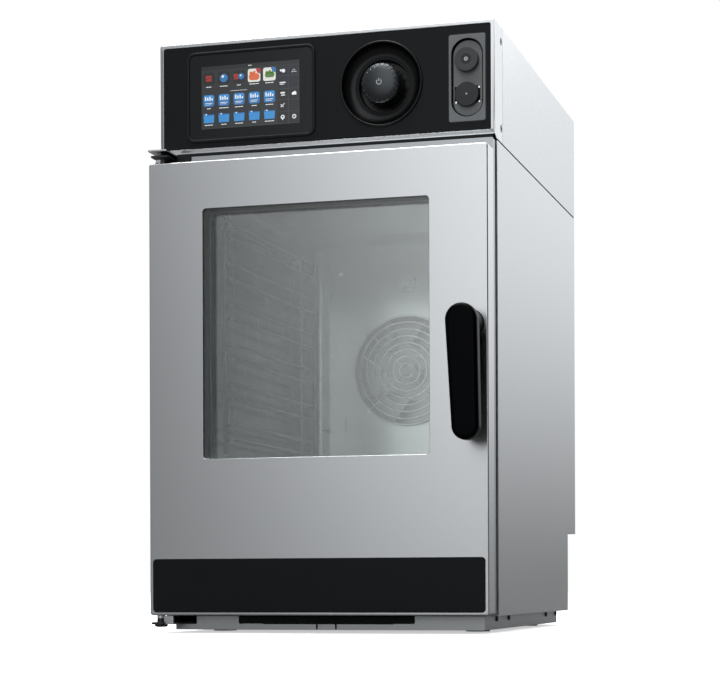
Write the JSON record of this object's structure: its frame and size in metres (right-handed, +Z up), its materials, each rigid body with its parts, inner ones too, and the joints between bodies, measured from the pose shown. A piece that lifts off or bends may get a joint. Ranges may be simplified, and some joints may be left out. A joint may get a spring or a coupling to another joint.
{
  "type": "combi steamer oven",
  "caption": "Compact free-standing steam and convection oven with a glazed side-hung door, lever handle, touch-screen header, scroll knob, wire racks and a fan behind a slotted baffle.",
  "frame": {"origin": "on the surface the oven stands on, under the middle of its bounding box, handle included", "axes": "+X to the right seen from the front, -Y out of the door towards the cook, +Z up"},
  "size_m": [0.51, 0.6808, 0.869],
  "materials": {
    "brushed_steel": "fine horizontal brushing, satin",
    "plain_steel": "2B mill finish",
    "polished_steel": "bright electropolished stainless steel",
    "hinge_steel": "machined",
    "dark_steel": "dark oxide",
    "black_fascia": "satin black lacquer",
    "black_plastic": "fine moulded grain",
    "gloss_black": "semi-gloss black",
    "knob_plastic": "satin charcoal with printed ticks",
    "grey_plastic": "satin dark grey",
    "screen_glass": "black-backed cover glass",
    "display": null,
    "door_glass": "tempered glass with a faint green tint",
    "silicone": "black silicone",
    "mineral_wool": "pressed mineral wool",
    "motor_casting": "die-cast",
    "brass_valve": "plain brass",
    "circuit_board": "green solder mask"
  },
  "bodies": {
    "cabinet": {"base_frame": "plain_steel", "feet": "black_plastic", "left_side_panel": "brushed_steel", "right_side_panel": "brushed_steel", "rear_panel": "brushed_steel", "header_cover": "brushed_steel", "header_bezel": "brushed_steel", "control_fascia": "black_fascia", "screen_bezel": "grey_plastic", "screen_glass": "screen_glass", "lcd_panel": "display", "drip_channel": "black_plastic", "knob_recess": "black_plastic", "encoder": "black_plastic", "port_plate": "grey_plastic", "port_sockets": "black_plastic", "front_frame": "plain_steel", "frame_seal": "silicone", "door_gasket": "silicone", "cavity_liner": "plain_steel", "insulation": "mineral_wool", "fan_baffle": "plain_steel", "baffle_posts": "polished_steel", "fan_grille": "polished_steel", "spray_nozzle": "polished_steel", "heating_element": "dark_steel", "fan_motor": "motor_casting", "steam_injector": "polished_steel", "temperature_probe": "polished_steel", "rack_left": "polished_steel", "rack_right": "polished_steel", "rack_studs": "polished_steel", "drain_pipe": "black_plastic", "vent_pipe": "polished_steel", "water_inlets": "brass_valve", "cable_gland": "black_plastic", "circuit_boards": "circuit_board", "cooling_fan_housing": "black_plastic", "top_hinge": "hinge_steel", "bottom_hinge": "hinge_steel", "hinge_pins": "polished_steel", "door_striker": "plain_steel", "casing_screws": "dark_steel"},
    "door": {"door_skin": "brushed_steel", "door_outer_glass": "door_glass", "glass_spacer": "dark_steel", "door_inner_frame": "plain_steel", "door_inner_glass": "door_glass", "kick_strip": "black_fascia", "hinge_bushes": "black_plastic", "handle_bearing": "black_plastic"},
    "handle": {"door_handle": "gloss_black"},
    "encoder_push": {"encoder_plunger": "polished_steel"},
    "knob": {"control_knob": "knob_plastic"},
    "fan": {"fan_wheel": "polished_steel"},
    "flap": {"vent_flap": "polished_steel"},
    "cooling_fan": {"cooling_fan_rotor": "black_plastic"},
    "upper_cap": {"probe_cap": "black_plastic"},
    "lower_cap": {"usb_cap": "black_plastic"},
    "filter": {"air_filter": "black_plastic"}
  },
  "joints": [
    {"name": "door_hinge", "type": "hinge", "parent": "cabinet", "child": "door", "pos_m": [-0.245, -0.2674, 0.344], "axis": [0, 0, -1], "range_deg": [0, 115]},
    {"name": "handle_turn", "type": "hinge", "parent": "door", "child": "handle", "pos_m": [0.229, -0.3024, 0.4325], "axis": [0, 1, 0], "range_deg": [0, 60], "stiffness_Nm_per_rad": 0.6},
    {"name": "knob_push", "type": "slide", "parent": "cabinet", "child": "encoder_push", "axis": [0, 1, 0], "range_m": [0, 0.0015], "stiffness_N_per_m": 1500},
    {"name": "knob_turn", "type": "hinge", "parent": "encoder_push", "child": "knob", "pos_m": [0.0875, -0.2424, 0.789], "axis": [0, 1, 0], "continuous": true},
    {"name": "fan_spin", "type": "hinge", "parent": "cabinet", "child": "fan", "pos_m": [0, 0.2176, 0.4285], "axis": [0, 1, 0], "continuous": true},
    {"name": "vent_flap_turn", "type": "hinge", "parent": "cabinet", "child": "flap", "pos_m": [-0.07, 0.2126, 0.744], "axis": [1, 0, 0], "range_deg": [0, 90]},
    {"name": "cooling_fan_spin", "type": "hinge", "parent": "cabinet", "child": "cooling_fan", "pos_m": [0.12, 0.3176, 0.789], "axis": [0, 1, 0], "continuous": true},
    {"name": "upper_cap_pull", "type": "slide", "parent": "cabinet", "child": "upper_cap", "axis": [0, -1, 0], "range_m": [0, 0.016]},
    {"name": "lower_cap_pull", "type": "slide", "parent": "cabinet", "child": "lower_cap", "axis": [0, -1, 0], "range_m": [0, 0.016]},
    {"name": "filter_slide", "type": "slide", "parent": "cabinet", "child": "filter", "axis": [0, -1, 0], "range_m": [0, 0.28]}
  ]
}
